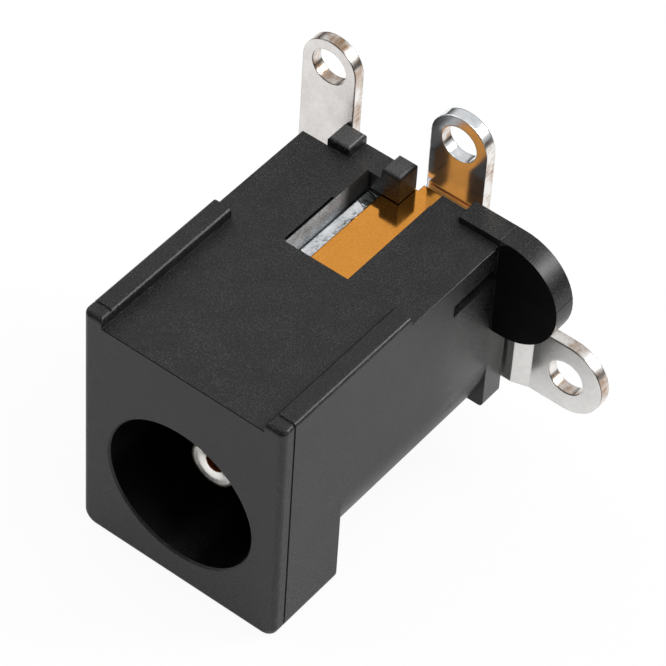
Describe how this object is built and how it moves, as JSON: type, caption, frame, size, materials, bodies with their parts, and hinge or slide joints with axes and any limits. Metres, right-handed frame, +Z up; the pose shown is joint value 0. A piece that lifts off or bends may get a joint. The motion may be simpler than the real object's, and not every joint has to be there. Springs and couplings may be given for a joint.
{
  "type": "right-angle dc power jack",
  "caption": "Right-angle DC power jack: square-flanged plastic socket with a centre pin, solder lugs behind, and rails and pegs that stand off the board.",
  "frame": {"origin": "centre of the socket's mouth on the front face", "axes": "+X to the right along the front face, +Y into the socket, +Z up to the side with the rails, the pegs and the two upright lugs"},
  "size_m": [0.0141, 0.0143, 0.0146],
  "materials": {
    "black_plastic": "fine matte texture",
    "pin_nickel": "nickel plated, turned",
    "plated_brass": "bright plated sheet brass",
    "spring_bronze": "polished phosphor bronze strip"
  },
  "bodies": {
    "root": {"housing": "black_plastic", "centre_pin": "pin_nickel", "pin_terminal": "plated_brass", "sleeve_spring": "spring_bronze", "sleeve_terminal": "plated_brass", "switch_terminal": "plated_brass"}
  },
  "joints": []
}
